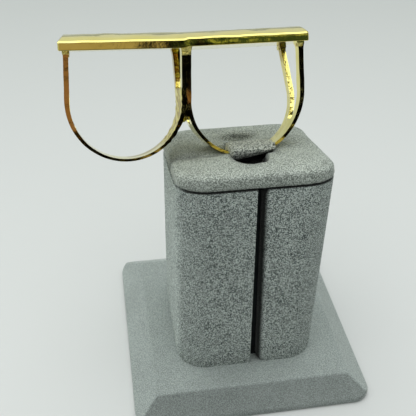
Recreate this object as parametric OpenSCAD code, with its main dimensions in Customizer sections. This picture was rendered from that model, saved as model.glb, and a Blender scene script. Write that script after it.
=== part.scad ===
// Two finger ring on its display stand.
// The ring is one soldered piece of gold: a domed bar over two round loops with split shanks.
// The stand is a suede covered plinth, a wrapped column and a sloping padded cap whose
// flap holds the band of the right loop. Millimetres, +Z up, the plinth's underside at z = 0,
// its back towards -Y, where the wrap's two ends meet.

/* [Bar of the ring] */
// Length of the bar across the two fingers
bar_len = 41.9; // [40:0.1:46]
// Width of the bar along the fingers
bar_w = 12.5; // [12.5:0.1:15]
// Height of the bar's straight side faces
bar_edge = 1.4; // [1.2:0.1:2.4]
// Rise of the bar's dome above its side faces
bar_dome = 1.4; // [0.6:0.1:2.2]
// Rise of the left half of the bar towards its end, in degrees
left_rise = 0.4; // [0:0.1:1]
// Rise of the right half of the bar towards its end, in degrees
right_rise = 1.1; // [0:0.1:1.4]
// Twist of the left half of the bar, its far edge up, in degrees
left_twist = 2.0; // [0:0.1:2.4]
// Width of the filed bevel on the bar's left end
end_bevel = 1.0; // [0.4:0.1:1.4]

/* [Loops of the ring] */
// Inner width of the left loop
left_bore = 18.8; // [17.6:0.1:19.2]
// Inner width of the right loop
right_bore = 19.3; // [18.6:0.1:19.8]
// Distance from the bar's underside to the centres of the bores
bore_drop = 8.9; // [8.4:0.1:9.6]
// Thickness of the shanks beside the fingers
shank_t = 0.82; // [0.7:0.02:1.1]
// Thickness of the band under the fingers
band_t = 0.46; // [0.4:0.02:0.7]
// Width of the shanks where they meet the bar, outside to outside
spread_w = 12.1; // [11:0.1:12.1]
// Width of the loops where the shanks split
split_w = 5.6; // [5:0.1:6.4]
// Distance from the bar's underside to the place where the shanks split
split_drop = 13.2; // [12.6:0.1:13.6]
// Width of the band under the fingers
band_w = 4.3; // [3.8:0.1:5]
// Thickness of one shank along the finger, at the bar
strand_w = 1.6; // [1.3:0.1:2]
// Inward lean of the left outer shank, in degrees
left_lean = 2.8; // [0:0.1:4]
// Inward lean of the right outer shank, in degrees
right_lean = 6.0; // [0:0.1:6.4]

/* [Pose of the ring on the stand] */
// Turn of the ring about the vertical, in degrees
ring_turn = 2.8; // [0:0.1:4]
// Backward lean of the ring, in degrees
ring_lean = 27.6; // [26:0.1:29]
// Tip of the ring towards its right end, in degrees
ring_tip = 2.4; // [1.5:0.1:3]

/* [Plinth] */
// Width and depth of the plinth
base_w = 47.0; // [44:0.2:50]
// Height of the plinth
base_h = 4.5; // [4:0.1:6]
// Height of the plinth's upright edge
base_edge = 1.2; // [0.6:0.1:1.6]
// Width of the plinth's bevel
base_bevel = 4.3; // [3:0.1:5]
// Corner radius of the plinth
base_r = 3.6; // [2:0.1:8]

/* [Column] */
// Width and depth of the column
col_w = 28.0; // [26:0.2:30]
// Corner radius of the column
col_r = 5.8; // [5:0.1:7]
// Height of the seam under the cap, above the table, on the high side
seam_z = 47.7; // [47.6:0.1:47.8]
// Slope of the column's top and the cap, in degrees
top_slope = 15; // [14.5:0.5:15.5]
// Thickness of the wrap
wrap_t = 2.0; // [1.6:0.1:2.6]
// Width of the gap between the wrap's ends, at its top
gap_top = 1.0; // [0.8:0.1:1.6]
// Width of the gap between the wrap's ends, at its bottom
gap_bottom = 1.4; // [0.8:0.1:2]

/* [Cap and flap] */
// Thickness of the padded cap
cap_t = 2.8; // [2.8:0.1:3.2]
// Width of the flap that holds the ring
flap_w = 8.4; // [8:0.1:9]
// Height of the flap's top above the cap
flap_rise = 1.5; // [1.4:0.1:1.8]
// Depth of the pocket under the flap
pocket_d = 1.7; // [1.6:0.1:1.8]

/* [Hidden] */

// The bar's top is part of a large cylinder over its side faces.
dome_r = (bar_w * bar_w / 4 + bar_dome * bar_dome) / (2 * bar_dome);
edge_soft = 0.12;
// The two halves of the bar run into each other by this much.
bar_lap = 0.3;
left_r = left_bore / 2;
right_r = right_bore / 2;
// The post between the fingers is the two inner shanks side by side.
post_x = -0.15;
left_x = post_x - shank_t - left_r;
right_x = post_x + shank_t + right_r;
// The outside of each loop is a larger circle set higher, so the band thins at the bottom.
outer_rise = shank_t - band_t;
loop_sink = 0.7;
// The straight shanks leave their circle at this slight bend, in degrees.
flank_kink = 1.5;
web_drop = 12.7;
web_w = 1.5;
crotch_r = 1.0;
clear = 0.3;
ring_spot = [-10.4, 7.55, 63.4];

back_y = -col_w / 2;
gap_x_top = -0.1;
gap_x_bottom = 1.0;
core_gap = 0.2;
// The flap and its pocket, measured on the cap's sloping top: across, and down from the high edge.
flap_x = 0.9;
flap_tip = 8.7;
flap_root = 17.2;
foot_len = 1.1;
nose_len = 1.6;
pocket_front = 9.2;
pocket_side = 0.5;
mouth_x = -0.8;
mouth_r = 4.2;
groove_w = band_w + 1.3;
// Rows of the cap's rounded edge: height as a share of the thickness, and inset.
CAP_ROWS = [[0, 0.8], [0.14, 0.2], [0.36, 0], [0.62, 0.1], [0.84, 0.55], [0.98, 1.4], [1.06, 2.6], [1.12, 5]];
H = 0;
INSET = 1;

module ring_place() {
    translate(ring_spot)
        rotate([0, 0, ring_turn])
            rotate([-ring_lean, 0, 0])
                rotate([0, ring_tip, 0]) children();
}

// Sloping plane of the seam: across is X, down the slope is Y, off the slope is Z.
module slope_place() {
    translate([0, back_y, seam_z]) rotate([-top_slope, 0, 0]) children();
}

module round_square(w, r) {
    square([w, w - 2 * r], center = true);
    square([w - 2 * r, w], center = true);
    for (sx = [-1, 1], sy = [-1, 1])
        translate([sx * (w / 2 - r), sy * (w / 2 - r)]) circle(r, $fn = 48);
}

module below_seam() {
    slope_place() translate([-col_w, -col_w, -3 * col_w]) cube([2 * col_w, 4 * col_w, 3 * col_w]);
}

// Plinth: an upright edge with rounded corners and a bevel whose four sides meet in mitres.
module base() {
    color([0.52, 0.56, 0.54])
        intersection() {
            linear_extrude(base_h + 2) round_square(base_w, base_r);
            base_run(base_h);
            rotate([0, 0, 90]) base_run(base_h + 1);
        }
}

// A run with the bevel on both sides, cut off at the given height.
module base_run(top) {
    fall = base_bevel / (base_h - base_edge);
    foot = base_w / 2 + fall * (base_edge + 1);
    head = base_w / 2 - fall * (top - base_edge);
    rotate([90, 0, 0])
        linear_extrude(base_w + 2, center = true)
            polygon([[-foot, -1], [foot, -1], [head, top], [-head, top]]);
}

// Stiff core inside the wrap, hidden but for the dark gap.
module core() {
    color([0.3, 0.32, 0.31])
        intersection() {
            translate([0, 0, base_h])
                linear_extrude(2 * col_w)
                    round_square(col_w - 2 * wrap_t - 2 * core_gap, col_r - wrap_t);
            below_seam();
        }
}

// Suede wrap round the core, open along a slightly slanting gap.
module wrap() {
    color([0.5, 0.54, 0.52])
        difference() {
            intersection() {
                translate([0, 0, base_h]) linear_extrude(2 * col_w) round_square(col_w, col_r);
                below_seam();
            }
            translate([0, 0, base_h - 1])
                linear_extrude(3 * col_w) round_square(col_w - 2 * wrap_t, col_r - wrap_t);
            translate([0, back_y + wrap_t + 1, 0])
                rotate([90, 0, 0]) linear_extrude(wrap_t + 2) wrap_gap();
        }
}

module wrap_gap() {
    foot_r = 1.2;
    left_foot = gap_x_bottom - gap_bottom / 2;
    right_foot = gap_x_bottom + gap_bottom / 2;
    top_z = seam_z + 2;
    polygon([[left_foot, base_h - 1], [right_foot, base_h - 1],
             [gap_x_top + gap_top / 2, top_z], [gap_x_top - gap_top / 2, top_z]]);
    difference() {
        translate([right_foot - 0.3, base_h - 1]) square([foot_r + 0.2, foot_r + 1]);
        translate([right_foot + foot_r - 0.05, base_h + foot_r]) circle(foot_r, $fn = 32);
    }
}

// Padded cap with rounded edges, the flap's pocket and the groove of the band.
module cap() {
    color([0.55, 0.59, 0.56])
        difference() {
            cap_body();
            slope_place() translate([0, 0, cap_t - pocket_d]) linear_extrude(cap_t) pocket_area();
            ring_place()
                translate([right_x, 0, outer_rise - bore_drop])
                    rotate([90, 0, 0])
                        cylinder(h = groove_w, r = right_r + shank_t + clear, center = true, $fn = 96);
        }
}

module pocket_area() {
    translate([flap_x - flap_w / 2 - pocket_side, pocket_front])
        square([flap_w + 2 * pocket_side, flap_root + clear - pocket_front]);
    translate([mouth_x, pocket_front + 1.7]) circle(mouth_r, $fn = 64);
}

module cap_body() {
    lift = cap_t / cos(top_slope);
    shear = [[1, 0, 0, 0], [0, 1, 0, 0], [0, -tan(top_slope), 1, 0], [0, 0, 0, 1]];
    hull()
        for (row = CAP_ROWS)
            translate([0, back_y, seam_z + row[H] * lift])
                multmatrix(shear)
                    translate([0, -back_y, 0])
                        linear_extrude(0.01) round_square(col_w - 2 * row[INSET], col_r - row[INSET]);
}

// Flap over the band: it rises from its foot in the pocket, follows the bore over the band
// and droops in front of it.
module flap() {
    top = cap_t + flap_rise;
    low = cap_t - 0.9;
    over = [[flap_root, low], [flap_root, cap_t + 0.1], [flap_root - 1.7, top - 0.65],
            [flap_root - 3.2, top], [flap_tip + 2, top - 0.05], [flap_tip + 0.7, top - 0.35],
            [flap_tip + 0.7, low]];
    nose = [[flap_tip + nose_len, cap_t + 0.45], [flap_tip + nose_len, top - 0.05],
            [flap_tip + 0.7, top - 0.35], [flap_tip, top - 0.8], [flap_tip, cap_t + 0.55],
            [flap_tip + 0.4, cap_t + 0.45]];
    color([0.56, 0.6, 0.57]) {
        intersection() {
            flap_side(over);
            ring_place()
                translate([right_x, 0, -bore_drop])
                    rotate([90, 0, 0])
                        cylinder(h = 2 * bar_w, r = right_r - clear, center = true, $fn = 96);
        }
        intersection() {
            flap_side(nose);
            slope_place() linear_extrude(2 * cap_t) nose_area();
        }
        slope_place()
            translate([flap_x - flap_w / 2, flap_root - foot_len, cap_t - pocket_d])
                cube([flap_w, foot_len, pocket_d]);
    }
}

module flap_side(outline) {
    slope_place()
        translate([flap_x - flap_w / 2, 0, 0])
            rotate([90, 0, 90]) linear_extrude(flap_w) polygon(outline);
}

// The flap's front edge is rounded more on its right side.
module nose_area() {
    left_r = 0.8;
    right_r = 2.4;
    left = flap_x - flap_w / 2;
    right = flap_x + flap_w / 2;
    translate([left + left_r, flap_tip + left_r]) circle(left_r, $fn = 32);
    translate([right - right_r, flap_tip + right_r]) circle(right_r, $fn = 32);
    translate([left + left_r, flap_tip]) square([flap_w - left_r - right_r, flap_w]);
    translate([left, flap_tip + left_r]) square([flap_w / 2, flap_w]);
    translate([flap_x, flap_tip + right_r]) square([flap_w / 2, flap_w]);
}

// Ring: the bar, the loops and the solder at their joints are one solid.
module ring() {
    color([0.86, 0.72, 0.33])
        ring_place() {
            bar();
            intersection() {
                loops();
                shank_sides();
            }
        }
}

// The bar is two domed halves that rise a little towards the ends; its left end is filed back.
module bar() {
    dome_top = bar_edge + 2 * bar_dome;
    rotate([left_twist, left_rise, 0])
        translate([-bar_len / 2, 0, 0])
            difference() {
                bar_half(bar_len / 2 + bar_lap);
                rotate([90, 0, 0])
                    linear_extrude(2 * bar_w, center = true)
                        polygon([[-1, bar_edge], [0, bar_edge], [2 * end_bevel, dome_top], [-1, dome_top]]);
            }
    rotate([0, -right_rise, 0]) translate([-bar_lap, 0, 0]) bar_half(bar_len / 2 + bar_lap);
}

module bar_half(len) {
    rotate([90, 0, 90])
        linear_extrude(len)
            intersection() {
                translate([0, bar_edge + bar_dome - dome_r]) circle(dome_r, $fn = 128);
                polygon([[edge_soft - bar_w / 2, 0], [bar_w / 2 - edge_soft, 0],
                         [bar_w / 2, edge_soft], [bar_w / 2, bar_edge - edge_soft],
                         [bar_w / 2 - edge_soft, 2 * bar_edge + bar_dome],
                         [edge_soft - bar_w / 2, 2 * bar_edge + bar_dome],
                         [-bar_w / 2, bar_edge - edge_soft], [-bar_w / 2, edge_soft]]);
            }
}

// Front view of both loops, drawn through the whole width of the ring.
module loops() {
    rotate([90, 0, 0])
        linear_extrude(2 * bar_w, center = true) {
            loop_ring(left_x, left_r, left_lean, 0);
            loop_ring(right_x, right_r, 0, right_lean);
            polygon([[post_x - 0.3, -bore_drop + 1], [post_x + 0.3, -bore_drop + 1],
                     [post_x + web_w / 2, -web_drop], [post_x, 0.5 - web_drop],
                     [post_x - web_w / 2, -web_drop]]);
        }
}

module loop_ring(x, r, lean_left, lean_right) {
    difference() {
        loop_area(x, outer_rise - bore_drop, r + shank_t, lean_left, lean_right, loop_sink);
        loop_area(x, -bore_drop, r, lean_left, lean_right, loop_sink + 1);
    }
}

// A circle with two straight flanks that leave it at the lean angles.
module loop_area(x, z, r, lean_left, lean_right, top) {
    left_foot = [x - r * cos(lean_left + flank_kink), z + r * sin(lean_left + flank_kink)];
    right_foot = [x + r * cos(lean_right + flank_kink), z + r * sin(lean_right + flank_kink)];
    left_top = left_foot[0] + (top - left_foot[1]) * tan(lean_left);
    right_top = right_foot[0] - (top - right_foot[1]) * tan(lean_right);
    translate([x, z]) circle(r, $fn = 96);
    polygon([[x, z], left_foot, [left_top, top], [right_top, top], right_foot]);
}

// Side view of the loops: a narrow band that splits into two strands on each side.
module shank_sides() {
    top = loop_sink;
    half_top = spread_w / 2;
    gap_half = crotch_r + 0.1;
    gap_top_half = spread_w / 2 - strand_w;
    low = -bore_drop - right_r - 2;
    rotate([90, 0, 90])
        linear_extrude(2 * bar_len, center = true)
            difference() {
                polygon([[-half_top, top], [-half_top, 0], [-split_w / 2, -split_drop],
                         [-band_w / 2, -bore_drop - right_r], [-band_w / 2, low], [band_w / 2, low],
                         [band_w / 2, -bore_drop - right_r], [split_w / 2, -split_drop],
                         [half_top, 0], [half_top, top]]);
                polygon([[-gap_top_half - 0.2, top + 0.01], [gap_top_half + 0.2, top + 0.01],
                         [gap_half, crotch_r - split_drop], [-gap_half, crotch_r - split_drop]]);
                translate([0, crotch_r - split_drop]) circle(gap_half, $fn = 32);
            }
}

base();
core();
wrap();
cap();
flap();
ring();
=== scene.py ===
import math

import bmesh
import bpy
from mathutils import Matrix, Vector, noise


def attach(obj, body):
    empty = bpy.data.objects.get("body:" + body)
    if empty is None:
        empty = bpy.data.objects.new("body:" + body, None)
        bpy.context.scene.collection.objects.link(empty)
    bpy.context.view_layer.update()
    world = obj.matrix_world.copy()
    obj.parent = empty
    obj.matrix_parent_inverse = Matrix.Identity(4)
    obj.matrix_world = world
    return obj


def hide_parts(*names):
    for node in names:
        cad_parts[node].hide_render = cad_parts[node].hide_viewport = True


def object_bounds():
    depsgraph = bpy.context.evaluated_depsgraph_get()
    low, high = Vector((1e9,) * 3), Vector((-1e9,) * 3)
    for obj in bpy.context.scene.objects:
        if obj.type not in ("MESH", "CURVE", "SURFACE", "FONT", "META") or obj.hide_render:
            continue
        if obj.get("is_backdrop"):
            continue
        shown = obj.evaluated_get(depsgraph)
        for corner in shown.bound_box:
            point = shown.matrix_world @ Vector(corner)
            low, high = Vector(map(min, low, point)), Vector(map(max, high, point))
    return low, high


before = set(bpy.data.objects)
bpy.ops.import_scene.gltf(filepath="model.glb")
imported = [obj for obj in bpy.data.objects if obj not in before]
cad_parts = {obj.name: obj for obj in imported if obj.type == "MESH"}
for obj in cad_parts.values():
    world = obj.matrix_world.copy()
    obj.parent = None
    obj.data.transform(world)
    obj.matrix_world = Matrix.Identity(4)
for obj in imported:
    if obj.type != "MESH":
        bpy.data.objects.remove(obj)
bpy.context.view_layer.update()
MM = 0.001
# without a seed of its own, the vector noise takes one from the clock
noise.seed_set(7)


# Camera
# The picture is taken from above the high side of the stand, a little from its left, with
# a short telephoto lens that is not held quite level.
camera_data = bpy.data.cameras.new("camera")
camera_data.lens = 60.64
camera_data.sensor_width = 36.0
camera_data.clip_start = 0.005
camera_data.clip_end = 5.0
camera = bpy.data.objects.new("camera", camera_data)
camera.location = (-24.57 * MM, -104.57 * MM, 115.54 * MM)
camera.rotation_euler = [math.radians(a) for a in (52.447, -0.922, -9.086)]
bpy.context.collection.objects.link(camera)
bpy.context.scene.camera = camera


# Plinth
# A square board with an upright edge and a broad bevel. Grey suede is drawn over it, glued
# and turned in underneath, so every edge of the board shows soft through the skin.
PLINTH_WIDTH = 47.0 * MM
PLINTH_HEIGHT = 4.5 * MM
PLINTH_EDGE = 1.2 * MM
PLINTH_BEVEL = 4.3 * MM
PLINTH_RADIUS = 3.6 * MM
CORNER_SEGMENTS = 12
# a block is this much too tall before its top is cut
SPARE = 1 * MM
WELD = 0.01 * MM


def new_material(name):
    material = bpy.data.materials.new(name)
    material.use_nodes = True
    return material, material.node_tree, material.node_tree.nodes["Principled BSDF"]


def feed(tree, socket, value):
    """Link a socket to another one, or give it a constant."""
    if isinstance(value, bpy.types.NodeSocket):
        tree.links.new(value, socket)
    else:
        socket.default_value = value


def noise_node(tree, place, scale, detail, roughness=0.5):
    node = tree.nodes.new("ShaderNodeTexNoise")
    feed(tree, node.inputs["Vector"], place)
    feed(tree, node.inputs["Scale"], scale)
    feed(tree, node.inputs["Detail"], detail)
    feed(tree, node.inputs["Roughness"], roughness)
    return node.outputs["Fac"]


def map_range(tree, source, before, after, smooth=False):
    """Turn values of one range into values of another."""
    node = tree.nodes.new("ShaderNodeMapRange")
    if smooth:
        node.interpolation_type = "SMOOTHSTEP"
    for name, value in zip(("From Min", "From Max", "To Min", "To Max"), (*before, *after)):
        node.inputs[name].default_value = value
    tree.links.new(source, node.inputs["Value"])
    return node.outputs["Result"]


def math_node(tree, operation, *values):
    node = tree.nodes.new("ShaderNodeMath")
    node.operation = operation
    for socket, value in zip(node.inputs, values):
        feed(tree, socket, value)
    return node.outputs["Value"]


def mix_colours(tree, amount, first, second):
    node = tree.nodes.new("ShaderNodeMix")
    node.data_type = "RGBA"
    tree.links.new(amount, node.inputs["Factor"])
    # sockets of several types share their names, so the colours are found by type
    colours = [s for s in node.inputs if s.type == "RGBA"]
    feed(tree, colours[0], first)
    feed(tree, colours[1], second)
    return [s for s in node.outputs if s.type == "RGBA"][0]


def scale_colour(tree, colour, amount):
    node = tree.nodes.new("ShaderNodeVectorMath")
    node.operation = "SCALE"
    tree.links.new(colour, node.inputs[0])
    tree.links.new(amount, node.inputs["Scale"])
    return node.outputs["Vector"]


def attribute(tree, name):
    node = tree.nodes.new("ShaderNodeAttribute")
    node.attribute_name = name
    return node.outputs["Fac"]


def bump(tree, height, strength, distance, under=None):
    """Relief from a height, laid over the relief under it."""
    node = tree.nodes.new("ShaderNodeBump")
    node.inputs["Strength"].default_value = strength
    node.inputs["Distance"].default_value = distance
    tree.links.new(height, node.inputs["Height"])
    if under is not None:
        tree.links.new(under, node.inputs["Normal"])
    return node.outputs["Normal"]


def suede_nap_group():
    group = bpy.data.node_groups.new("suede_nap", "ShaderNodeTree")
    face = group.interface
    for name, kind, value in (
        ("Vector", "NodeSocketVector", None),
        ("Light", "NodeSocketColor", (0.5, 0.5, 0.5, 1)),
        ("Dark", "NodeSocketColor", (0.1, 0.1, 0.1, 1)),
        ("Grain", "NodeSocketFloat", 5600.0),
        ("Specks", "NodeSocketFloat", 0.5),
        ("Strokes", "NodeSocketFloat", 0.15),
    ):
        socket = face.new_socket(name, in_out="INPUT", socket_type=kind)
        if value is not None:
            socket.default_value = value
    face.new_socket("Color", in_out="OUTPUT", socket_type="NodeSocketColor")
    face.new_socket("Height", in_out="OUTPUT", socket_type="NodeSocketFloat")

    put_in = group.nodes.new("NodeGroupInput")
    put_out = group.nodes.new("NodeGroupOutput")
    place = put_in.outputs["Vector"]
    # the dark roots show where the fibres part, more in some clumps than in others
    fibres = noise_node(group, place, put_in.outputs["Grain"], 1.5, 0.6)
    parted = map_range(group, fibres, (0.4, 0.62), (1.0, 0.0), smooth=True)
    clumps = noise_node(group, place, 420.0, 2.0)
    clumps = map_range(group, clumps, (0.3, 0.7), (0.93, 1.06), smooth=True)
    strength = math_node(group, "MULTIPLY", put_in.outputs["Specks"], clumps)
    dark_mask = math_node(group, "MULTIPLY", parted, strength)
    dark_mask.node.use_clamp = True
    mixed = mix_colours(group, dark_mask, put_in.outputs["Light"], put_in.outputs["Dark"])
    # a hand has stroked the nap lighter and darker in broad patches
    strokes = math_node(group, "SUBTRACT", noise_node(group, place, 110.0, 2.0), 0.5)
    swing = math_node(group, "MULTIPLY_ADD", strokes, put_in.outputs["Strokes"], 1.0)
    group.links.new(scale_colour(group, mixed, swing), put_out.inputs["Color"])
    group.links.new(fibres, put_out.inputs["Height"])
    return group


suede_nap = suede_nap_group()


def suede(
    name, light, dark, specks, strokes, grain=5600.0, relief_depth=0.16 * MM, with_painted_shade=False,
    painted_front_shade=0.0, sheen=0.6,
):
    material, tree, shader = new_material(name)
    shader.inputs["Roughness"].default_value = 0.95
    shader.inputs["Specular IOR Level"].default_value = 0.15
    shader.inputs["Sheen Weight"].default_value = sheen
    shader.inputs["Sheen Roughness"].default_value = 0.35
    shader.inputs["Sheen Tint"].default_value = (0.86, 0.9, 0.87, 1)
    place = tree.nodes.new("ShaderNodeTexCoord")
    nap = tree.nodes.new("ShaderNodeGroup")
    nap.node_tree = suede_nap
    nap.inputs["Light"].default_value = (*light, 1)
    nap.inputs["Dark"].default_value = (*dark, 1)
    nap.inputs["Grain"].default_value = grain
    nap.inputs["Specks"].default_value = specks
    nap.inputs["Strokes"].default_value = strokes
    tree.links.new(place.outputs["Object"], nap.inputs["Vector"])
    shade = nap.outputs["Color"]

    def dim(colour, amount):
        return scale_colour(tree, colour, math_node(tree, "SUBTRACT", 1.0, amount))

    if painted_front_shade:
        # painted shade: the faces turned to the camera's side are made darker, where less light
        # falls on them
        split = tree.nodes.new("ShaderNodeSeparateXYZ")
        tree.links.new(place.outputs["Normal"], split.inputs["Vector"])
        shade = dim(shade, map_range(tree, split.outputs["Y"], (-0.25, -0.6), (0.0, painted_front_shade)))
    if with_painted_shade:
        # painted shade: the attribute holds how far the nap is darkened where it lies hidden from
        # the light
        shade = dim(shade, attribute(tree, "painted_shade"))
    tree.links.new(shade, shader.inputs["Base Color"])
    relief = bump(tree, nap.outputs["Height"], 0.8, relief_depth)
    tree.links.new(relief, shader.inputs["Normal"])
    return material


def link_mesh(name, mesh, material):
    data = bpy.data.meshes.new(name)
    mesh.to_mesh(data)
    mesh.free()
    item = bpy.data.objects.new(name, data)
    bpy.context.collection.objects.link(item)
    data.materials.append(material)
    return item


def add_piece(name, mesh, material, node):
    for face in mesh.faces:
        face.smooth = True
    piece = link_mesh(name, mesh, material)
    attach(piece, "root")
    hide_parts(node)
    return piece


def finish_edges(piece, width, segments, angle):
    rims = piece.modifiers.new("rims", "BEVEL")
    rims.width = width
    rims.segments = segments
    rims.limit_method = "ANGLE"
    rims.angle_limit = math.radians(angle)
    rims.harden_normals = True


def soften(mesh, edges, width, segments):
    bmesh.ops.bevel(
        mesh, geom=edges, offset=width, offset_type="OFFSET", segments=segments,
        profile=0.5, affect="EDGES", material=-1,
    )


def slice_mesh(mesh, spot, way, trim=False):
    """Cut the mesh along a plane, and take off what lies beyond the plane if it is a trim."""
    bmesh.ops.bisect_plane(
        mesh, geom=mesh.verts[:] + mesh.edges[:] + mesh.faces[:],
        plane_co=spot, plane_no=way, clear_outer=trim,
    )


def close_openings(mesh):
    bmesh.ops.holes_fill(mesh, edges=[e for e in mesh.edges if e.is_boundary], sides=0)


def rounded_block(width, radius, low, high):
    mesh = bmesh.new()
    bmesh.ops.create_cube(mesh, size=1.0)
    bmesh.ops.scale(mesh, vec=(width, width, high - low), verts=mesh.verts)
    bmesh.ops.translate(mesh, vec=(0, 0, (low + high) / 2), verts=mesh.verts)
    half = (high - low) / 2
    upright = [e for e in mesh.edges if abs(e.verts[0].co.z - e.verts[1].co.z) > half]
    soften(mesh, upright, radius, CORNER_SEGMENTS)
    return mesh


suede_plinth = suede(
    "suede_plinth", light=(0.4, 0.45, 0.43), dark=(0.12, 0.14, 0.13), specks=0.6, strokes=0.3,
    painted_front_shade=0.34,
)
plinth_mesh = rounded_block(PLINTH_WIDTH, PLINTH_RADIUS, 0, PLINTH_HEIGHT + SPARE)
plinth_fall = PLINTH_BEVEL / (PLINTH_HEIGHT - PLINTH_EDGE)
slice_mesh(plinth_mesh, (0, 0, PLINTH_HEIGHT), (0, 0, 1), trim=True)
close_openings(plinth_mesh)
for turn in range(4):
    away = Vector((math.sin(turn * math.pi / 2), -math.cos(turn * math.pi / 2), 0))
    edge_spot = away * PLINTH_WIDTH / 2 + Vector((0, 0, PLINTH_EDGE))
    slice_mesh(plinth_mesh, edge_spot, away + Vector((0, 0, plinth_fall)), trim=True)
    close_openings(plinth_mesh)
bmesh.ops.remove_doubles(plinth_mesh, verts=plinth_mesh.verts, dist=WELD)
bmesh.ops.recalc_face_normals(plinth_mesh, faces=plinth_mesh.faces)
plinth = add_piece("plinth", plinth_mesh, suede_plinth, "base")
finish_edges(plinth, width=0.45 * MM, segments=4, angle=20)


# Core
# An upright post of dark board glued on the plinth. The wrap hides it, but for the narrow
# gap between the wrap's ends.
def colour_ramp(tree, source, stops):
    """Turn a value into a colour. Each stop has a position and a colour."""
    node = tree.nodes.new("ShaderNodeValToRGB")
    for element, (position, colour) in zip(node.color_ramp.elements, stops):
        element.position = position
        element.color = (*colour, 1)
    tree.links.new(source, node.inputs["Fac"])
    return node.outputs["Color"]


board, board_tree, board_shader = new_material("board")
board_shader.inputs["Roughness"].default_value = 0.9
board_shader.inputs["Specular IOR Level"].default_value = 0.1
board_place = board_tree.nodes.new("ShaderNodeTexCoord").outputs["Object"]
board_grain = noise_node(board_tree, board_place, 900.0, 2.0)
board_tone = colour_ramp(
    board_tree, board_grain, ((0.0, (0.006, 0.007, 0.008)), (1.0, (0.016, 0.02, 0.02))),
)
board_tree.links.new(board_tone, board_shader.inputs["Base Color"])
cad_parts["core"].data.materials.clear()
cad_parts["core"].data.materials.append(board)


# Wrap
# A strip of suede on a stiff lining, bent round the core and glued. Its two ends stop short
# of each other on the camera's side, the high one, and leave a slanting gap.
COLUMN_WIDTH = 28.0 * MM
COLUMN_HALF = COLUMN_WIDTH / 2
COLUMN_RADIUS = 5.8 * MM
HIGH_SIDE = -COLUMN_HALF
SEAM_HEIGHT = 47.7 * MM
SEAM_PLAY = 0.03 * MM
TOP_SLOPE = math.radians(15)
WRAP_THICKNESS = 2.0 * MM
# left and right side of the gap
GAP_TOP = (-0.6 * MM, 0.4 * MM)
GAP_BOTTOM = (0.3 * MM, 1.7 * MM)
# the gap's right lip: its rounding, the rounding of its foot and the notch at its head, then
# how deep it is shaped, and from where to where across it is shaped and shaded
LIP_ROUND = 1.1 * MM
LIP_FOOT = 1.3 * MM
LIP_NOTCH = 0.95 * MM
LIP_DEPTH = 2.5 * MM
LIP_REACH = (-0.1 * MM, 1.7 * MM)
LIP_SHADE = (0.3 * MM, 1.12 * MM)
LIP_NEAR, FACE_NEAR, LIP_LENGTH = 0.2 * MM, 0.05 * MM, 10 * MM
# heights above the plinth and drops below the seam of the extra rows of vertices
FOOT_CUTS = (0.45 * MM, 0.85 * MM, LIP_FOOT)
SEAM_CUTS = (0.2 * MM, LIP_NOTCH)
# the seam's shade reaches this far down, and fades between these places off the camera's side
SEAM_SHADE = 0.15 * MM
SEAM_FADE = (-12.4 * MM, -10 * MM)
DARKEST = 0.97
slope_normal = Vector((0, math.sin(TOP_SLOPE), math.cos(TOP_SLOPE)))


def smooth_step(value, low, high):
    t = min(1.0, max(0.0, (value - low) / (high - low)))
    return t * t * (3 - 2 * t)


def seam_at(y):
    return SEAM_HEIGHT - (y - HIGH_SIDE) * math.tan(TOP_SLOPE)


# painted shade along the seam between cap and wrap, darkest on the camera's side
def seam_painted_shade(y):
    return 0.1 + 0.85 * (1 - smooth_step(y, *SEAM_FADE))


def gap_sides(z):
    share = (z - PLINTH_HEIGHT) / (SEAM_HEIGHT - PLINTH_HEIGHT)
    return [foot + (head - foot) * share for foot, head in zip(GAP_BOTTOM, GAP_TOP)]


# painted light and shade: the wrap's colours are raised so that its sides come out light, standing
# in for the nap's sheen, while its front gets the painted front shade and its lip and seam the
# painted shade of the attribute
suede_wrap = suede(
    "suede_wrap", light=(0.655, 0.73, 0.685), dark=(0.07, 0.09, 0.085), specks=0.95,
    strokes=0.3, grain=5400.0, with_painted_shade=True, painted_front_shade=0.29, sheen=0.12,
)
wrap_mesh = rounded_block(COLUMN_WIDTH, COLUMN_RADIUS, PLINTH_HEIGHT, SEAM_HEIGHT + SPARE)
slice_mesh(wrap_mesh, (0, HIGH_SIDE, SEAM_HEIGHT - SEAM_PLAY), slope_normal, trim=True)
lids = [f for f in wrap_mesh.faces if abs(f.normal.z) > 0.9]
bmesh.ops.delete(wrap_mesh, geom=lids, context="FACES")
for foot_x, head_x in zip(GAP_BOTTOM, GAP_TOP):
    foot = Vector((foot_x, 0, PLINTH_HEIGHT))
    rise = Vector((head_x, 0, SEAM_HEIGHT)) - foot
    slice_mesh(wrap_mesh, foot, (rise.z, 0, -rise.x))
between = []
for face in wrap_mesh.faces:
    centre = face.calc_center_median()
    left, right = gap_sides(centre.z)
    if centre.y < 0 and left < centre.x < right:
        between.append(face)
bmesh.ops.delete(wrap_mesh, geom=between, context="FACES")

# the sheet's faces look outwards, so that its thickness grows inwards
bmesh.ops.recalc_face_normals(wrap_mesh, faces=wrap_mesh.faces)
broad = [f for f in wrap_mesh.faces if abs(f.normal.y) > 0.9]
if sum(f.normal.dot(f.calc_center_median()) for f in broad) < 0:
    bmesh.ops.reverse_faces(wrap_mesh, faces=wrap_mesh.faces)
bmesh.ops.solidify(wrap_mesh, geom=wrap_mesh.faces[:], thickness=WRAP_THICKNESS)

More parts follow.
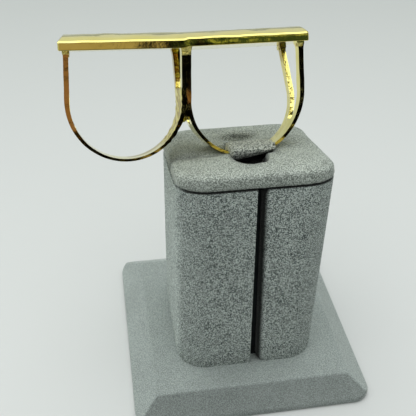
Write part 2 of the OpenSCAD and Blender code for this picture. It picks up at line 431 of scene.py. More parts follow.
# the long edges on the outside that stand at the gap's right side
right_lip = []
for edge in wrap_mesh.edges:
    ends = [v.co for v in edge.verts]
    middle = (ends[0] + ends[1]) / 2
    outside = all(p.y < HIGH_SIDE + FACE_NEAR for p in ends)
    upright = abs(ends[0].z - ends[1].z) > LIP_LENGTH
    if outside and upright and abs(middle.x - gap_sides(middle.z)[1]) < LIP_NEAR:
        right_lip.append(edge)
soften(wrap_mesh, right_lip, LIP_ROUND, 6)
for height in FOOT_CUTS:
    slice_mesh(wrap_mesh, (0, 0, PLINTH_HEIGHT + height), (0, 0, 1))
for drop in SEAM_CUTS:
    slice_mesh(wrap_mesh, (0, HIGH_SIDE, SEAM_HEIGHT - drop), slope_normal)

# the right end is notched at the top and rounded at the foot, and painted shade darkens the nap at
# the gap's lip and along the seam
painted_shade = wrap_mesh.verts.layers.float.new("painted_shade")
for vert in wrap_mesh.verts:
    point = vert.co
    above = point.z - PLINTH_HEIGHT
    below = seam_at(point.y) - point.z
    from_lip = point.x - gap_sides(point.z)[1]
    shade_amount = seam_painted_shade(point.y) if below < SEAM_SHADE else 0.0
    if point.y < HIGH_SIDE + LIP_DEPTH and LIP_REACH[0] < from_lip < LIP_REACH[1]:
        shade_amount = max(shade_amount, DARKEST * (1 - smooth_step(from_lip, *LIP_SHADE)))
        if above < LIP_FOOT:
            point.x += LIP_FOOT - math.sqrt(max(0.0, LIP_FOOT ** 2 - (LIP_FOOT - above) ** 2))
        if below < LIP_NOTCH:
            point.x += 0.5 * (LIP_NOTCH - below)
    vert[painted_shade] = shade_amount
wrap = add_piece("wrap_strip", wrap_mesh, suede_wrap, "wrap")
finish_edges(wrap, width=0.2 * MM, segments=3, angle=40)


# Cap
# A padded lid of foam under suede, cut to the slope and glued over core and wrap. The band
# of the ring is pressed into it, and a pocket runs under the flap.
CAP_THICKNESS = 2.8 * MM
CAP_ROWS = (
    # share of the thickness, inset in mm; the first two rows are the skirt
    (0.0, 0.5), (0.1, 0.13),
    (0.3, 0.0), (0.62, 0.1), (0.84, 0.55), (0.98, 1.4), (1.06, 2.6), (1.12, 5.0),
)
SKIRT_ROWS = 2
CAP_GRID = 128
LOW_SIDE_FULL, SUEDE_SLACK = 0.45 * MM, 0.12 * MM
cap_lift = CAP_THICKNESS / math.cos(TOP_SLOPE)

# place and main sizes of the ring, whose band shapes the cap
RING_SPOT = Vector((-10.4, 7.55, 63.4)) * MM
RING_TURN, RING_LEAN, RING_TIP = (math.radians(a) for a in (2.8, -27.6, 2.4))
ring_turned = (
    Matrix.Rotation(RING_TURN, 3, "Z")
    @ Matrix.Rotation(RING_LEAN, 3, "X")
    @ Matrix.Rotation(RING_TIP, 3, "Y")
)
BORE_DROP = 8.9 * MM
SHANK = 0.82 * MM
BAND = 0.46 * MM
BAND_HALF = 2.15 * MM
BAND_PLAY = 0.06 * MM
POST_X = -0.15 * MM
LEFT_BORE, RIGHT_BORE = 9.4 * MM, 9.65 * MM
LEFT_X = POST_X - SHANK - LEFT_BORE
RIGHT_X = POST_X + SHANK + RIGHT_BORE

# the dent: its middle and half sizes across and along the table
DENT_SPOT = (-0.1 * MM, 5.9 * MM)
DENT_SIZE = (3.9 * MM, 2.2 * MM)
DENT_DEPTH = 1.1 * MM
CREASE_Y, CREASE_WIDTH, CREASE_DEPTH = -2.4 * MM, 1.3 * MM, 0.35 * MM
# the pocket and its mouth, across and down the slope from its high edge
POCKET_X, POCKET_HALF = 0.5 * MM, 3.2 * MM
POCKET_FRONT, POCKET_BACK = 11.2 * MM, 17.3 * MM
POCKET_FLOOR = 0.4 * MM
MOUTH_SPOT = (-0.35 * MM, 9.9 * MM)
MOUTH_SIZE = (2.5 * MM, 3.7 * MM)
MOUTH_SPAN = 3.2 * MM


def down_slope(y):
    return (y - HIGH_SIDE) / math.cos(TOP_SLOPE)


def under_band(x, y, radius, centre_drop):
    """Height at which a vertical line meets the round band from below, and its place across."""
    # the line's start and direction in the ring's own directions
    start = ring_turned.transposed() @ (Vector((x, y, 0)) - RING_SPOT)
    step = ring_turned.transposed() @ Vector((0, 0, 1))
    px, pz = start.x - RIGHT_X, start.z + centre_drop
    a = step.x ** 2 + step.z ** 2
    b = 2 * (px * step.x + pz * step.z)
    c = px ** 2 + pz ** 2 - radius ** 2
    inside = b * b - 4 * a * c
    if inside <= 0:
        return None, None
    z = (-b - math.sqrt(inside)) / (2 * a)
    return z, start.y + step.y * z


def from_rim(x, y):
    """Distance inwards from the edge of the column, a rounded square."""
    flat = COLUMN_HALF - COLUMN_RADIUS
    qx, qy = abs(x) - flat, abs(y) - flat
    outside = math.hypot(max(qx, 0), max(qy, 0)) + min(max(qx, qy), 0)
    return COLUMN_RADIUS - outside


def from_middle(x, y, spot, size):
    """Distance from the middle of an oval, which is 1 on its edge."""
    return math.hypot((x - spot[0]) / size[0], (y - spot[1]) / size[1])


def from_mouth(x, along):
    """Distance from the rounded mouth of the flap's pocket, below zero inside it."""
    return (from_middle(x, along, MOUTH_SPOT, MOUTH_SIZE) - 1) * MOUTH_SPAN


def cap_profile(inset):
    """Share of the thickness that the padding reaches at an inset from its widest line."""
    rows = CAP_ROWS[SKIRT_ROWS:]
    for (low_share, low_inset), (high_share, high_inset) in zip(rows, rows[1:]):
        if inset <= high_inset * MM:
            t = (inset / MM - low_inset) / (high_inset - low_inset)
            return low_share + (high_share - low_share) * math.sin(t * math.pi / 2) ** 0.9
    return rows[-1][0]


def cap_surface(x, y):
    inset = from_rim(x, y)
    top = seam_at(y) + cap_lift * cap_profile(max(inset, 0))
    # fuller at the low side, slack of the suede, the dent where the flap was pulled up, a crease
    top += LOW_SIDE_FULL * smooth_step(y, 6 * MM, 12 * MM) * smooth_step(inset, 0, 0.5 * MM)
    top += SUEDE_SLACK * noise.noise(Vector((x, y, 0.3)) * 160)
    top -= DENT_DEPTH * (1 - smooth_step(from_middle(x, y, DENT_SPOT, DENT_SIZE), 0.25, 1.1))
    crease = math.exp(-(((y - CREASE_Y) / CREASE_WIDTH) ** 2)) * smooth_step(-x, 2.5 * MM, 6 * MM)
    top -= CREASE_DEPTH * crease * smooth_step(inset, 0, 4 * MM)
    # the band's bed, with soft shoulders beside it
    bed_radius = RIGHT_BORE + SHANK + BAND_PLAY
    z, across = under_band(x, y, bed_radius, BORE_DROP - (SHANK - BAND))
    if z is not None:
        shoulder = max(0.0, abs(across) - BAND_HALF)
        limit = z + shoulder * 1.3 + 0.35 * shoulder ** 2 / MM
        if limit < top + 0.8 * MM:
            soft = 0.35 * MM
            share = min(1.0, max(0.0, 0.5 + 0.5 * (top - limit) / soft))
            top = top * (1 - share) + limit * share - soft * share * (1 - share) * 0.5
            top = min(top, limit) if shoulder < 0.1 * MM else top
    # a soft edged pocket under the flap, whose mouth in front of it shelves gently on the right
    along = down_slope(y)
    side = max(abs(x - POCKET_X) - POCKET_HALF, 0.0)
    from_pocket = math.hypot(side, max(POCKET_FRONT - along, along - POCKET_BACK, 0.0))
    shelf = 0.75 * MM + 0.9 * MM * smooth_step(x, 0.5 * MM, 2.5 * MM)
    hole = 1 - min(
        smooth_step(from_pocket, -0.15 * MM, 0.75 * MM),
        smooth_step(from_mouth(x, along), -0.15 * MM, shelf),
    )
    floor = seam_at(y) + POCKET_FLOOR
    return top + (min(floor, top) - top) * hole


def cap_painted_shade(x, y, z):
    """How much painted shade darkens the nap at a point: inside the pocket, along the band and
    behind it.
    """
    along = down_slope(y)
    depth = seam_at(y) + cap_lift - z
    inside = smooth_step(depth, 0.35 * MM, 1.2 * MM) * smooth_step(from_rim(x, y), 3 * MM, 5 * MM)
    behind = smooth_step(along, 10.5 * MM, 13.5 * MM)
    behind *= 1 - 0.6 * smooth_step(along, 20 * MM, 25 * MM)
    crease = math.exp(-((along - 11.8 * MM) / (1.5 * MM)) ** 2) * smooth_step(-x, 2 * MM, 5 * MM)
    dent = math.exp(-((from_middle(x, y, DENT_SPOT, DENT_SIZE) - 0.75) / 0.3) ** 2)
    dent *= smooth_step(y, 4.5 * MM, 7 * MM)
    mouth = math.exp(-((max(from_mouth(x, along), 0.0) / (1.05 * MM)) ** 2))
    patchy = 0.75 + 1.3 * noise.noise(Vector((x, y * 2.2, 0)) * 330)
    dimness = DARKEST * inside + 0.05 * behind + 0.8 * mouth
    dimness += (0.55 * crease + 0.34 * dent) * patchy
    return min(DARKEST, dimness)


suede_cap = suede(
    "suede_cap", light=(0.5, 0.55, 0.5), dark=(0.08, 0.095, 0.08), specks=0.8, strokes=0.45,
    grain=4800.0, with_painted_shade=True, painted_front_shade=0.2, sheen=0.2,
)
cap_mesh = bmesh.new()
bmesh.ops.create_grid(cap_mesh, x_segments=CAP_GRID, y_segments=CAP_GRID, size=COLUMN_HALF)
for vert in cap_mesh.verts:
    # the square grid is drawn in to the rounded square, along rays from its middle
    x, y = vert.co.x, vert.co.y
    reach = max(abs(x), abs(y))
    if reach < 1e-9:
        continue
    ux, uy = x / reach, y / reach
    low, high = 0.0, 1.0
    for _ in range(24):
        mid = (low + high) / 2
        if from_rim(ux * COLUMN_HALF * mid, uy * COLUMN_HALF * mid) > 0:
            low = mid
        else:
            high = mid
    vert.co.x, vert.co.y = x * low, y * low
# until the heights are set, a vertex of the skirt lies at -1 less its share of the thickness
rim_edges = [e for e in cap_mesh.edges if e.is_boundary]
for share, inset in reversed(CAP_ROWS[:SKIRT_ROWS]):
    grown = bmesh.ops.extrude_edge_only(cap_mesh, edges=rim_edges)["geom"]
    scale = (COLUMN_HALF - inset * MM) / COLUMN_HALF
    for vert in (g for g in grown if isinstance(g, bmesh.types.BMVert)):
        vert.co = Vector((vert.co.x * scale, vert.co.y * scale, -1 - share))
    rim_edges = [g for g in grown if isinstance(g, bmesh.types.BMEdge) and g.is_boundary]
bmesh.ops.holes_fill(cap_mesh, edges=rim_edges, sides=0)
painted_shade = cap_mesh.verts.layers.float.new("painted_shade")
for vert in cap_mesh.verts:
    x, y = vert.co.x, vert.co.y
    if vert.co.z <= -1:
        # painted shade along the seam at the skirt's lowest row, and a lighter painted shade on
        # the row above
        lowest = vert.co.z > -1.05
        vert[painted_shade] = seam_painted_shade(y) if lowest else 0.2
        uneven = 0.06 * MM * (1 + noise.noise(Vector((x, y, 0)) * 800))
        vert.co.z = seam_at(y) + cap_lift * (-1 - vert.co.z) + uneven
    else:
        vert.co.z = cap_surface(x, y)
        vert[painted_shade] = cap_painted_shade(x, y, vert.co.z)
bmesh.ops.recalc_face_normals(cap_mesh, faces=cap_mesh.faces)
cap = add_piece("padded_cap", cap_mesh, suede_cap, "cap")


# Flap
# A thick tongue of suede rooted in the back of the pocket. It comes forward over the band,
# presses it down and ends in a soft, fuzzy lip in front of it.
FLAP_LEFT, FLAP_RIGHT = -3.4 * MM, 5.15 * MM
FLAP_STATIONS = 34
FLAP_ROUND = 40
FLAP_ROUNDING = 0.75 * MM


def lift_point(x, along, lift):
    """A point on the cap's slope: across, down from its high edge, and off the seam."""
    y = HIGH_SIDE + along * math.cos(TOP_SLOPE) + lift * math.sin(TOP_SLOPE)
    z = SEAM_HEIGHT - along * math.sin(TOP_SLOPE) + lift * math.cos(TOP_SLOPE)
    return Vector((x, y, z))


def band_top(x, along):
    """Lift of the band's inner face above the seam."""
    spot = lift_point(x, along, 2.0 * MM)
    z, across = under_band(spot.x, spot.y, RIGHT_BORE, BORE_DROP)
    return (z - seam_at(spot.y)) * math.cos(TOP_SLOPE)


def flap_section(x):
    share = (x - FLAP_LEFT) / (FLAP_RIGHT - FLAP_LEFT)
    front = (9.0 + 0.1 * share + 0.5 * share ** 4) * MM
    lip = (2.1 + 0.9 * share + 0.65 * share ** 3) * MM
    crown = 4.35 * MM - 0.12 * MM * abs(2 * share - 1) ** 3
    over = max(lip + 0.3 * MM, band_top(x, 10.8 * MM) + 0.16 * MM)
    rows = [
        # down the slope, lift off the seam: the lip, the top side, the root, the underside
        (front + 0.75 * MM, lip),
        (front + 0.25 * MM, lip + 0.25 * MM),
        (front, (lip + crown) / 2),
        (front + 0.35 * MM, crown - 0.45 * MM),
        (front + 1.2 * MM, crown - 0.08 * MM),
        (12.4 * MM, crown),
        (14.0 * MM, crown - 0.1 * MM),
        (15.5 * MM, crown - 0.62 * MM),
        (16.7 * MM, 3.0 * MM),
        (17.15 * MM, 2.2 * MM),
        (16.9 * MM, 1.5 * MM),
        (16.3 * MM, 1.45 * MM),
        (15.9 * MM, 2.1 * MM),
        (15.3 * MM, max(2.6 * MM, band_top(x, 15.0 * MM) + 0.35 * MM)),
        (13.4 * MM, band_top(x, 13.4 * MM) + 0.14 * MM),
        (11.8 * MM, band_top(x, 11.8 * MM) + 0.14 * MM),
        (10.95 * MM, over),
        (10.5 * MM, over - 0.1 * MM),
        (10.25 * MM, lip + 0.2 * MM),
    ]
    # a closed smooth curve through the rows
    points = []
    count = len(rows)
    for step in range(FLAP_ROUND):
        t = step * count / FLAP_ROUND
        i, f = int(t), t - int(t)
        p = [rows[(i + k - 1) % count] for k in range(4)]
        point = [
            0.5 * (2 * p[1][c] + (p[2][c] - p[0][c]) * f
                   + (2 * p[0][c] - 5 * p[1][c] + 4 * p[2][c] - p[3][c]) * f * f
                   + (3 * p[1][c] - p[0][c] - 3 * p[2][c] + p[3][c]) * f ** 3)
            for c in (0, 1)
        ]
        points.append(point)
    return points


def rolled_grid(stations, around):
    """A grid whose far side is sewn to its near side, with its station and its place around."""
    mesh = bmesh.new()
    bmesh.ops.create_grid(mesh, x_segments=stations, y_segments=around, size=0.5)
    station = mesh.verts.layers.int.new("station")
    place = mesh.verts.layers.int.new("place")
    for vert in mesh.verts:
        vert[station] = round((vert.co.x + 0.5) * stations)
        vert[place] = round((vert.co.y + 0.5) * around) % around
    return mesh, station, place


def close_roll(mesh):
    bmesh.ops.remove_doubles(mesh, verts=mesh.verts, dist=1e-7)
    close_openings(mesh)
    bmesh.ops.recalc_face_normals(mesh, faces=mesh.faces)


suede_flap = suede(
    "suede_flap", light=(0.53, 0.57, 0.51), dark=(0.05, 0.06, 0.05), specks=0.9, strokes=0.3,
    grain=3600.0, relief_depth=0.26 * MM, painted_front_shade=0.5, sheen=0.4,
)
flap_mesh, station, place = rolled_grid(FLAP_STATIONS, FLAP_ROUND)
sections = {}
for vert in flap_mesh.verts:
    step = vert[station]
    if step not in sections:
        # the stations crowd towards the two sides, where the sections shrink to a rounding
        share = 0.5 - 0.5 * math.cos(math.pi * step / FLAP_STATIONS)
        x = FLAP_LEFT + (FLAP_RIGHT - FLAP_LEFT) * share
        points = flap_section(x)
        short = max(0.0, FLAP_ROUNDING - min(x - FLAP_LEFT, FLAP_RIGHT - x)) / FLAP_ROUNDING
        size = 0.25 + 0.75 * math.sqrt(max(0.0, 1 - short ** 2))
        centre = [sum(p[c] for p in points) / len(points) for c in (0, 1)]
        points = [[centre[c] + (p[c] - centre[c]) * size for c in (0, 1)] for p in points]
        sections[step] = (x, points)
    x, points = sections[step]
    along, lift = points[vert[place]]
    vert.co = lift_point(x, along, lift)
    vert.co += noise.noise_vector(vert.co * 900) * 0.05 * MM
close_roll(flap_mesh)
flap = add_piece("suede_tongue", flap_mesh, suede_flap, "flap")


# Ring
# Yellow gold, cast and finished by hand: a domed bar over two round loops. Each leg is split
# into two strands and soldered under the bar, and the middle legs are soldered back to back.
BAR_LENGTH = 41.9 * MM
BAR_WIDTH = 12.5 * MM
BAR_EDGE = 1.4 * MM
BAR_DOME = 1.4 * MM
BAR_LOW_ROUND, BAR_HIGH_ROUND, BAR_END_ROUND = 0.06 * MM, 0.2 * MM, 0.16 * MM
BAR_STATIONS = 150
BAR_CROWDING = 0.35
DOME_ROWS = 22
END_BEVEL = 1.0 * MM
LEFT_TWIST, LEFT_RISE, RIGHT_RISE = (math.radians(a) for a in (2.0, 0.4, 1.1))


def bar_section():
    half = BAR_WIDTH / 2
    radius = (half ** 2 + BAR_DOME ** 2) / (2 * BAR_DOME)
    low, high = BAR_LOW_ROUND, BAR_HIGH_ROUND
    side = (low + 0.08 * MM, BAR_EDGE / 2, BAR_EDGE - high - 0.1 * MM)
    rows = []

    def corner(cy, cz, round_by, start):
        for k in range(4):
            a = math.radians(start + 30 * k)
            rows.append((cy + round_by * math.cos(a), cz + round_by * math.sin(a)))

    for k in range(6):
        rows.append(((k / 6 * 2 - 1) * (half - low) * 0.96, 0.0))
    corner(half - low, low, low, -90)
    rows += [(half, z) for z in side]
    corner(half - high, BAR_EDGE - high, high, 0)
    for k in range(DOME_ROWS + 1):
        y = (half - high * 1.2) * (1 - 2 * k / DOME_ROWS)
        rows.append((y, BAR_EDGE + BAR_DOME - radius + math.sqrt(radius ** 2 - y ** 2)))
    corner(-half + high, BAR_EDGE - high, high, 90)
    rows += [(-half, z) for z in reversed(side)]
    corner(-half + low, low, low, 180)
    return rows


def hand_wave(point, size, depth, seed):
    return noise.noise(Vector((point.x, point.y, point.z + seed)) / size) * depth


section = bar_section()
ring_mesh, station, place = rolled_grid(BAR_STATIONS, len(section))
# how rough the solder is at a vertex, and how much painted dark reflection darkens the gold
ring_mesh.verts.layers.float.new("rough_cast")
ring_mesh.verts.layers.float.new("painted_dark_reflection")
for vert in ring_mesh.verts:
    share = vert[station] / BAR_STATIONS
    # the stations crowd towards the two ends, so that the end edges are round
    crowded = 0.5 - 0.5 * math.cos(math.pi * share)
    x = BAR_LENGTH * crowded * BAR_CROWDING + BAR_LENGTH * share * (1 - BAR_CROWDING)
    x -= BAR_LENGTH / 2
    y, z = section[vert[place]]
    short = max(0.0, BAR_END_ROUND - (BAR_LENGTH / 2 - abs(x)))
    inset = BAR_END_ROUND - math.sqrt(max(0.0, BAR_END_ROUND ** 2 - short ** 2))
    middle = (BAR_EDGE + BAR_DOME) / 2
    if abs(abs(y) - BAR_WIDTH / 2) < 1e-7 and abs(z - BAR_EDGE / 2) < 1e-7:
        # the long faces are a little full in the right half
        y += math.copysign(0.045 * MM * smooth_step(x, -1 * MM, 3 * MM), y)
    y *= 1 - inset / (BAR_WIDTH / 2)
    z = middle + (z - middle) * (1 - inset / middle)
    if x < 0:
        z = min(z, BAR_EDGE + (x + BAR_LENGTH / 2) * BAR_DOME / END_BEVEL)
    # long and short waves of the hand finish, on the top and on the long faces
    point = Vector((x, y, z))
    point.z += hand_wave(point, 3.2 * MM, 0.09 * MM, seed=1.0) * smooth_step(z, 0, BAR_EDGE)
    point.z += hand_wave(point, 1.1 * MM, 0.025 * MM, seed=2.0) * smooth_step(z, 0, BAR_EDGE)
    filed = 0.025 * MM + 0.05 * MM * smooth_step(x, -2 * MM, 2 * MM)
    on_face = 1 - smooth_step(abs(z - BAR_EDGE / 2), 0.7 * MM, 1.4 * MM)
    point.y += hand_wave(point, 2.8 * MM, filed, seed=3.0) * on_face
    left = 1 - smooth_step(x, -0.5 * MM, 0.3 * MM)
    twist = LEFT_TWIST * left
    rise = LEFT_RISE * left - RIGHT_RISE * (1 - left)
    turn = Matrix.Rotation(rise, 3, "Y") @ Matrix.Rotation(twist, 3, "X")
    vert.co = turn @ point
close_roll(ring_mesh)

LOOP_SINK = 0.5 * MM
# half width over both strands at the bar and at the split, and the width of a strand
SPREAD, SPLIT, STRAND = 6.05 * MM, 2.8 * MM, 1.6 * MM
SPLIT_DROP = 13.2 * MM
TAPER = 5.35 * MM
CROTCH = 1.1 * MM
FLANK_ROWS, ARC_ROWS, ACROSS = 40, 110, 12
# heights between which the split of the middle leg is full of solder, and where it tapers off
SOLDER_TOP = -6.8 * MM
SOLDER_FADE = (15 * MM, 17 * MM)


def outer_half(z):
    if z > -SPLIT_DROP:
        share = min(0.0, z) / -SPLIT_DROP
        return SPREAD + (SPLIT - SPREAD) * share
    share = (-SPLIT_DROP - z) / TAPER
    return SPLIT + (BAND_HALF - SPLIT) * min(1.0, share)


def foot_flare(z, size):
    """How much a strand widens towards its foot on the bar."""
    return size * math.exp(min(z, 0.0) / (0.35 * MM))


def inner_half(z):
    top = SPREAD - STRAND
    crotch_z = CROTCH - SPLIT_DROP
    if z > crotch_z:
        share = min(0.0, z) / crotch_z
        return top + (CROTCH - top) * share - foot_flare(z, 0.3 * MM)
    return math.sqrt(max(0.0, CROTCH ** 2 - (crotch_z - z) ** 2))


def loop_rows(centre_x, bore, lean_left, lean_right):
    """Inner and outer points of a loop, in its own plane, from one end at the bar to the other."""
    centre = Vector((centre_x, -BORE_DROP))
    raised = Vector((centre_x, SHANK - BAND - BORE_DROP))
    flanks = []
    for side, lean in ((-1, lean_left), (1, lean_right)):
        way = (side * math.cos(lean), math.sin(lean))
        feet = [
            centre + Vector((way[0] * bore, way[1] * bore)),
            raised + Vector((way[0] * (bore + SHANK), way[1] * (bore + SHANK))),
        ]
        flank = []
        for k in range(FLANK_ROWS):
            pair = []
            for number, foot in enumerate(feet):
                z = LOOP_SINK + (foot.y - LOOP_SINK) * (k / FLANK_ROWS) ** 1.6
                x = foot.x - side * (z - foot.y) * math.tan(lean)
                x += side * foot_flare(z, 0.2 * MM) * (number * 2 - 1)
                pair.append(Vector((x, z)))
            flank.append(pair)
        flanks.append(flank)
    arc = []
    start, stop = math.pi - lean_left, 2 * math.pi + lean_right
    for k in range(ARC_ROWS + 1):
        angle = start + (stop - start) * k / ARC_ROWS
        way = Vector((math.cos(angle), math.sin(angle)))
        arc.append([centre + way * bore, raised + way * (bore + SHANK)])
    return flanks[0] + arc + flanks[1][::-1]


def add_loop(mesh, centre_x, bore, lean_left, lean_right, seed, solder_side=0):
    rows = loop_rows(centre_x, bore, lean_left, lean_right)
    loop = bmesh.new()
    bmesh.ops.create_grid(loop, x_segments=len(rows) - 1, y_segments=ACROSS, size=0.5)
    row_of = loop.verts.layers.int.new("row")
    column_of = loop.verts.layers.int.new("column")
    loop.verts.layers.float.new("rough_cast")
    loop.verts.layers.float.new("painted_dark_reflection")
    rough_of, reflection_of = (loop.verts.layers.float[name] for name in ("rough_cast", "painted_dark_reflection"))
    steps = ACROSS // 2
    for vert in loop.verts:
        vert[row_of] = round((vert.co.x + 0.5) * (len(rows) - 1))
        vert[column_of] = round((vert.co.y + 0.5) * ACROSS) - steps
    # the faces between the strands go, but for those under the solder
    open_rows = []
    for row in rows:
        z = row[0].y
        filled = (row[0].x - centre_x) * solder_side > 0 and z < SOLDER_TOP
        open_rows.append(inner_half(z) > outer_half(z) / steps and not filled)
    cut = []
    for face in loop.faces:
        columns = [v[column_of] for v in face.verts]
        if max(abs(c) for c in columns) <= 1 and all(open_rows[v[row_of]] for v in face.verts):
            cut.append(face)
    bmesh.ops.delete(loop, geom=cut, context="FACES")
    shell = bmesh.ops.extrude_face_region(loop, geom=loop.faces[:])["geom"]
    outside = {g for g in shell if isinstance(g, bmesh.types.BMVert)}
    for vert in loop.verts:
        inner, outer = rows[vert[row_of]]
        z = inner.y
        column = vert[column_of]
        first = max(inner_half(z), outer_half(z) / steps)
        if column == 0:
            y = 0.0
        else:
            y = first + (outer_half(z) - first) * (abs(column) - 1) / (steps - 1)
            y = math.copysign(y, column)
        spot = outer if vert in outside else inner
        point = Vector((spot.x, y, spot.y))
        middle = (inner + outer) / 2
        place = Vector((middle.x, column * MM, middle.y))
        point.y += hand_wave(place, 2.6 * MM, 0.05 * MM, seed)
        point.x += hand_wave(point, 2.4 * MM, 0.05 * MM, seed + 5)
        if (spot.x - centre_x) * solder_side > 0:
            # the split is filled with rough solder above its crotch, and the faces turn a little
            rough = smooth_step(-z, -SOLDER_TOP - 0.5 * MM, -SOLDER_TOP)
            rough *= 1 - smooth_step(-z, *SOLDER_FADE)
            place = Vector((point.x, point.y * 0.3, point.z))
            point.x += rough * hand_wave(place, 0.7 * MM, 0.2 * MM, seed)
            point.y -= (spot.x - middle.x) * 0.08
            if vert not in outside and abs(column) < steps:
                vert[rough_of] = rough
                # the far strand's inner face above the solder gets a painted dark reflection
                vert[reflection_of] = 1 - rough if column > 0 else 0.0
        elif solder_side == 0 and spot.x > centre_x and 0 < column < steps and vert not in outside:
            # the far strand of the right leg is rough inside, and has a painted dark reflection at
            # its foot
            vert[rough_of] = 0.22
            vert[reflection_of] = 1 - smooth_step(-z, 1.5 * MM, 3.5 * MM)
        vert.co = point
    bmesh.ops.recalc_face_normals(loop, faces=loop.faces)
    data = bpy.data.meshes.new("loop_part")
    loop.to_mesh(data)
    loop.free()
    mesh.from_mesh(data)
    bpy.data.meshes.remove(data)


# the middle legs overlap a little, so that they read as soldered back to back
LEG_OVERLAP = 0.02 * MM
add_loop(
    ring_mesh, LEFT_X + LEG_OVERLAP, LEFT_BORE, math.radians(2.8), 0.0, seed=1.0, solder_side=1,
)
add_loop(ring_mesh, RIGHT_X - LEG_OVERLAP, RIGHT_BORE, 0.0, math.radians(6.0), seed=7.0)

# solder runs down between the middle legs, in front and behind
WEDGE_TOP, WEDGE_FOOT = -7.6 * MM, -11.6 * MM
WEDGE_TOP_HALF, WEDGE_FOOT_HALF = 0.2 * MM, 0.45 * MM
WEDGE_INSET = 0.06 * MM
for side in (-1, 1):
    wedge = bmesh.ops.create_cube(ring_mesh, size=1.0)["verts"]
    for vert in wedge:
        low = vert.co.z < 0
        z = WEDGE_FOOT if low else WEDGE_TOP
        half = WEDGE_FOOT_HALF if low else WEDGE_TOP_HALF
        outer = vert.co.y * side > 0
        y = outer_half(z) - WEDGE_INSET if outer else inner_half(z) + WEDGE_INSET
        vert.co = Vector((POST_X + math.copysign(half, vert.co.x), side * y, z))

# a bead of it stands in the crotch between the loops
BEAD_SPOT, BEAD_SIZE = Vector((-0.1, 2.3, -12.3)), (0.6, 0.8, 0.55)
bead = bmesh.ops.create_icosphere(ring_mesh, subdivisions=3, radius=1.0)["verts"]
rough_of = ring_mesh.verts.layers.float["rough_cast"]
for vert in bead:
    vert[rough_of] = 0.8
    vert.co = Vector([c * size for c, size in zip(vert.co, BEAD_SIZE)]) * MM
    vert.co += BEAD_SPOT * MM
    vert.co += noise.noise_vector(vert.co * 900) * 0.2 * MM

# and a foot of it fills the corner between each strand and the bar
SOLDER_FEET = (
    # place across, half width, drop, all in mm
    (-0.15, 0.84, 1.3),
    (-19.74, 0.62, 0.6),
    (19.37, 0.5, 0.5),
)
FEET_INNER, FEET_OUTER = 5.0 * MM, 6.23 * MM
for side in (-1, 1):
    for x, half, drop in SOLDER_FEET:
        foot = bmesh.ops.create_cube(ring_mesh, size=1.0)["verts"]
        rough_of = ring_mesh.verts.layers.float["rough_cast"]
        for vert in foot:
            vert[rough_of] = 1.0
            low = vert.co.z < 0
            z = -drop * MM if low else 0.1 * MM
            taper = 0.86 if low else 1.0
            outer = (outer_half(z) + 0.1 * MM) if low else FEET_OUTER
            y = outer if vert.co.y * side > 0 else FEET_INNER
            across = x * MM + math.copysign(half * taper * MM, vert.co.x)
            vert.co = Vector((across, side * y, z))
            vert.co += noise.noise_vector(vert.co * 900) * 0.05 * MM

for vert in ring_mesh.verts:
    vert.co = RING_SPOT + ring_turned @ vert.co


def gold_material():
    material, tree, shader = new_material("gold")
    shader.inputs["Metallic"].default_value = 1.0
    place = tree.nodes.new("ShaderNodeTexCoord").outputs["Object"]
    cast, painted_dark_reflection = attribute(tree, "rough_cast"), attribute(tree, "painted_dark_reflection")

    def stretched(scale):
        node = tree.nodes.new("ShaderNodeMapping")
        node.inputs["Scale"].default_value = scale
        tree.links.new(place, node.inputs["Vector"])
        return node.outputs["Vector"]

    # the solder has run in small pits and beads
    runs = noise_node(tree, stretched((1.0, 0.25, 1.0)), 1500.0, 2.0)
    bead = map_range(tree, runs, (0.42, 0.56), (0.0, 1.0))
    pit = math_node(tree, "MULTIPLY", map_range(tree, bead, (0.0, 1.0), (1.0, 0.0)), cast)
    tone = colour_ramp(
        tree, noise_node(tree, place, 260.0, 2.0),
        ((0.3, (0.84, 0.74, 0.22)), (0.72, (0.91, 0.82, 0.3))),
    )
    # painted dark reflection: the gold turns dark olive where the attribute says
    tinted_gold = mix_colours(tree, painted_dark_reflection, tone, (0.42, 0.3, 0.015, 1))
    tinted_gold = mix_colours(tree, pit, tinted_gold, (0.48, 0.36, 0.07, 1))
    tree.links.new(tinted_gold, shader.inputs["Base Color"])
    polish = map_range(tree, noise_node(tree, place, 900.0, 3.0), (0.35, 0.7), (0.05, 0.14))
    matt = map_range(tree, cast, (0.0, 1.0), (0.0, 0.25))
    tree.links.new(math_node(tree, "ADD", polish, matt), shader.inputs["Roughness"])

    # soft waves left by the file and the buff, then fine marks, then the pits of the solder
    buffed = noise_node(tree, stretched((0.3, 1.0, 1.0)), 420.0, 1.5)
    waves = bump(tree, buffed, 0.55, 0.12 * MM)
    marks = bump(tree, noise_node(tree, place, 2200.0, 3.0), 0.3, 0.03 * MM, under=waves)
    beads = math_node(tree, "MULTIPLY", bead, cast)
    pits = bump(tree, beads, 1.0, 0.16 * MM, under=marks)
    tree.links.new(pits, shader.inputs["Normal"])
    return material


gold = gold_material()
ring = add_piece("gold_ring", ring_mesh, gold, "ring")
finish_edges(ring, width=0.11 * MM, segments=2, angle=40)


# Table and light
# A plain pale table under soft light. On the camera's side stands a dark screen with soft
# warm and olive glowing cards, which only the metal sees: painted reflections of the room, which
# polished gold shows.
TABLE_HALF = 2.0
paper, paper_tree, paper_shader = new_material("paper")
paper_shader.inputs["Roughness"].default_value = 0.8
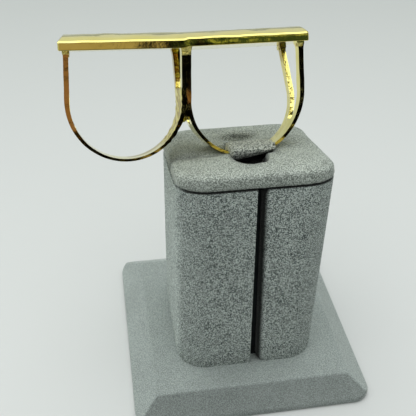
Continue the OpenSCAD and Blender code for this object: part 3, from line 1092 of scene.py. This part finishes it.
# the paper falls into shade towards its far end
paper_split = paper_tree.nodes.new("ShaderNodeSeparateXYZ")
paper_place = paper_tree.nodes.new("ShaderNodeTexCoord").outputs["Object"]
paper_tree.links.new(paper_place, paper_split.inputs["Vector"])
paper_fade = map_range(paper_tree, paper_split.outputs["Y"], (0.0, 0.25), (0.0, 1.0))
paper_tone = colour_ramp(
    paper_tree, paper_fade, ((0.0, (0.62, 0.64, 0.63)), (1.0, (0.43, 0.455, 0.44))),
)
paper_tree.links.new(paper_tone, paper_shader.inputs["Base Color"])
table_mesh = bmesh.new()
bmesh.ops.create_grid(table_mesh, x_segments=1, y_segments=1, size=TABLE_HALF)
table = link_mesh("table", table_mesh, paper)
table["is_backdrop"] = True

SCREEN_WIDTH, SCREEN_HEIGHT = 1.2, 0.5
SCREEN_SPOT = (0.0, -0.32, 0.252)
SCREEN_DARK = (0.001, 0.001, 0.001, 1)
# share of a card's size at which its edge begins and ends
CARD_EDGE = (0.75, 1.1)
# painted reflections and highlights: the glowing cards on the screen, seen only in the gold
REFLECTION_CARDS = (
    # centre across, centre up, half width, half height, colour
    (-0.004, 0.262, 0.05, 0.075, (0.4, 0.31, 0.19)),
    (-0.078, 0.048, 0.075, 0.036, (0.26, 0.13, 0.085)),
    (-0.07, 0.106, 0.075, 0.018, (0.13, 0.065, 0.02)),
    (0.14, 0.262, 0.08, 0.06, (0.036, 0.056, 0.022)),
    (0.1, 0.258, 0.014, 0.022, (0.34, 0.35, 0.1)),
    (0.14, 0.335, 0.06, 0.02, (0.5, 0.52, 0.2)),
    (0.108, 0.163, 0.045, 0.03, (0.4, 0.35, 0.17)),
)
painted_reflections, reflections_tree, reflections_shader = new_material("painted_reflections")
reflections_shader.inputs["Base Color"].default_value = (0, 0, 0, 1)
reflections_shader.inputs["Specular IOR Level"].default_value = 0.0
reflections_shader.inputs["Emission Strength"].default_value = 1.0
reflections_place = reflections_tree.nodes.new("ShaderNodeTexCoord").outputs["Object"]
layered = SCREEN_DARK
for x, z, half_x, half_z, colour in REFLECTION_CARDS:
    # each card is a glowing oval with a soft edge, a painted reflection laid over those before it
    card_place = reflections_tree.nodes.new("ShaderNodeMapping")
    card_place.vector_type = "TEXTURE"
    card_place.inputs["Location"].default_value = (x, SCREEN_SPOT[1], z)
    card_place.inputs["Scale"].default_value = (half_x, 1.0, half_z)
    reflections_tree.links.new(reflections_place, card_place.inputs["Vector"])
    card_reach = reflections_tree.nodes.new("ShaderNodeVectorMath")
    card_reach.operation = "LENGTH"
    reflections_tree.links.new(card_place.outputs["Vector"], card_reach.inputs[0])
    card_mask = map_range(
        reflections_tree, card_reach.outputs["Value"], CARD_EDGE, (1.0, 0.0), smooth=True,
    )
    layered = mix_colours(reflections_tree, card_mask, layered, (*colour, 1))
reflections_tree.links.new(layered, reflections_shader.inputs["Emission Color"])
screen_mesh = bmesh.new()
bmesh.ops.create_grid(screen_mesh, x_segments=1, y_segments=1, size=0.5)
upright = Matrix.Rotation(math.radians(90), 3, "X")
bmesh.ops.rotate(screen_mesh, cent=(0, 0, 0), matrix=upright, verts=screen_mesh.verts)
bmesh.ops.scale(screen_mesh, vec=(SCREEN_WIDTH, 1, SCREEN_HEIGHT), verts=screen_mesh.verts)
bmesh.ops.translate(screen_mesh, vec=SCREEN_SPOT, verts=screen_mesh.verts)
screen = link_mesh("screen", screen_mesh, painted_reflections)
screen.visible_camera = False
screen.visible_diffuse = False
screen.visible_shadow = False
screen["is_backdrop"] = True

LIGHT_SPOT, LIGHT_AIM = Vector((-0.05, 0.02, 0.5)), Vector((0, 0, 0.03))
light_data = bpy.data.lights.new("light_top", "AREA")
light_data.shape = "RECTANGLE"
light_data.size, light_data.size_y = 0.9, 0.9
light_data.energy = 2.9
light = bpy.data.objects.new("light_top", light_data)
light.location = LIGHT_SPOT
light.rotation_euler = (LIGHT_AIM - LIGHT_SPOT).to_track_quat("-Z", "Y").to_euler()
bpy.context.collection.objects.link(light)

# the room is lighter above and behind the stand than on the camera's side
ROOM_BRIGHT_WAY = (-0.25, 0.58, 0.77)
room = bpy.data.worlds.new("room")
bpy.context.scene.world = room
room.use_nodes = True
room_tree = room.node_tree
room_place = room_tree.nodes.new("ShaderNodeTexCoord")
room_height = room_tree.nodes.new("ShaderNodeVectorMath")
room_height.operation = "DOT_PRODUCT"
room_height.inputs[1].default_value = ROOM_BRIGHT_WAY
room_tree.links.new(room_place.outputs["Generated"], room_height.inputs[0])
room_fade = map_range(room_tree, room_height.outputs["Value"], (-0.5, 0.75), (0.25, 0.77))
room_shader = room_tree.nodes["Background"]
room_shader.inputs["Color"].default_value = (0.93, 0.97, 0.95, 1)
room_tree.links.new(room_fade, room_shader.inputs["Strength"])

bpy.context.scene.view_settings.view_transform = "Standard"

low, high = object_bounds()
